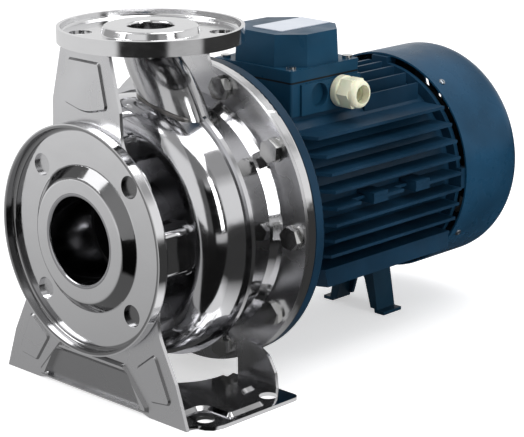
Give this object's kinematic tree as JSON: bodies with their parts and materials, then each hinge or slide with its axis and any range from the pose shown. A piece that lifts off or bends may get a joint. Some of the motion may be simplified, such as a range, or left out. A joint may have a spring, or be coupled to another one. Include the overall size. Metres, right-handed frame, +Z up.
{
  "type": "surface pump",
  "caption": "Close-coupled surface pump: pressed steel casing with flanged suction and discharge ports on a sheet stand, driven by a finned motor with a terminal box.",
  "frame": {"origin": "floor level, at the middle of the four foot bolt holes", "axes": "+Z up, +Y along the shaft from the suction port to the motor, +X to the right seen from the suction side"},
  "size_m": [0.252, 0.443, 0.292],
  "materials": {
    "suction_steel": "mirror-polished stainless pressing",
    "neck_steel": "polished tube",
    "discharge_steel": "mirror-polished stainless pressing",
    "pipe_steel": "mirror-polished stainless pressing",
    "casing_steel": "mirror-polished stainless pressing",
    "arm_steel": "polished stainless pressing",
    "support_sheet": "polished stainless sheet",
    "base_sheet": "polished stainless sheet",
    "adapter_steel": "polished stainless pressing",
    "bolt_steel": "machined stainless",
    "seal_rubber": "black moulded rubber",
    "wear_bronze": "turned bronze",
    "seal_carbon": "lapped carbon",
    "seal_steel": "stainless",
    "impeller_steel": "stainless",
    "shaft_steel": "ground steel",
    "bearing_steel": "ground bearing steel",
    "cage_brass": "pressed cage",
    "motor_paint": "satin dark blue paint",
    "fan_cover_paint": "satin dark blue paint",
    "box_paint": "satin dark blue paint",
    "foot_paint": "satin dark blue paint",
    "stator_iron": "stacked laminations",
    "copper_wire": "varnished copper wire",
    "rotor_alloy": "cast cage on laminations",
    "fan_plastic": "moulded black plastic",
    "plate_alloy": "bare light plate",
    "block_plastic": "moulded phenolic",
    "stud_brass": "turned brass",
    "gland_plastic": "cream moulded plastic"
  },
  "bodies": {
    "pump": {"suction_flange": "suction_steel", "suction_neck": "neck_steel", "discharge_flange": "discharge_steel", "discharge_pipe": "pipe_steel", "casing_front_shell": "casing_steel", "casing_rear_shell": "casing_steel", "support_arms": "arm_steel", "support_front_plate": "support_sheet", "support_rear_plate": "support_sheet", "support_rear_legs": "support_sheet", "support_base_plate": "base_sheet", "casing_cover": "adapter_steel", "casing_o_ring": "seal_rubber", "motor_adapter": "adapter_steel", "casing_bolts": "bolt_steel", "casing_washers": "bolt_steel", "wear_ring": "wear_bronze", "seal_seat": "seal_carbon", "front_bearing_outer": "bearing_steel", "rear_bearing_outer": "bearing_steel", "front_shield": "motor_paint", "motor_barrel": "motor_paint", "stator_core": "stator_iron", "stator_windings": "copper_wire", "rear_shield": "motor_paint", "fan_cover": "fan_cover_paint", "terminal_box": "box_paint", "terminal_gasket": "seal_rubber", "terminal_lid": "box_paint", "lid_screws": "bolt_steel", "lid_plate": "plate_alloy", "terminal_block": "block_plastic", "terminal_studs": "stud_brass", "gland_body": "gland_plastic", "gland_nut": "gland_plastic", "motor_foot": "foot_paint", "motor_foot_screws": "bolt_steel"},
    "rotor": {"impeller": "impeller_steel", "impeller_nut": "impeller_steel", "seal_head": "seal_steel", "seal_bellows": "seal_rubber", "shaft": "shaft_steel", "slinger": "seal_rubber", "front_bearing_inner": "bearing_steel", "rear_bearing_inner": "bearing_steel", "rotor_core": "rotor_alloy", "cooling_fan": "fan_plastic"},
    "front_cage": {"front_bearing_balls": "bearing_steel", "front_bearing_cage": "cage_brass"},
    "rear_cage": {"rear_bearing_balls": "bearing_steel", "rear_bearing_cage": "cage_brass"}
  },
  "joints": [
    {"name": "shaft_spin", "type": "hinge", "parent": "pump", "child": "rotor", "pos_m": [0, 0, 0.132], "axis": [0, 1, 0], "continuous": true},
    {"name": "front_cage_spin", "type": "hinge", "parent": "pump", "child": "front_cage", "pos_m": [0, 0, 0.132], "axis": [0, 1, 0], "continuous": true},
    {"name": "rear_cage_spin", "type": "hinge", "parent": "pump", "child": "rear_cage", "pos_m": [0, 0, 0.132], "axis": [0, 1, 0], "continuous": true}
  ],
  "couplings": [
    {"joint": "front_cage_spin", "follows": "shaft_spin", "ratio": 0.4043},
    {"joint": "rear_cage_spin", "follows": "shaft_spin", "ratio": 0.4065}
  ]
}
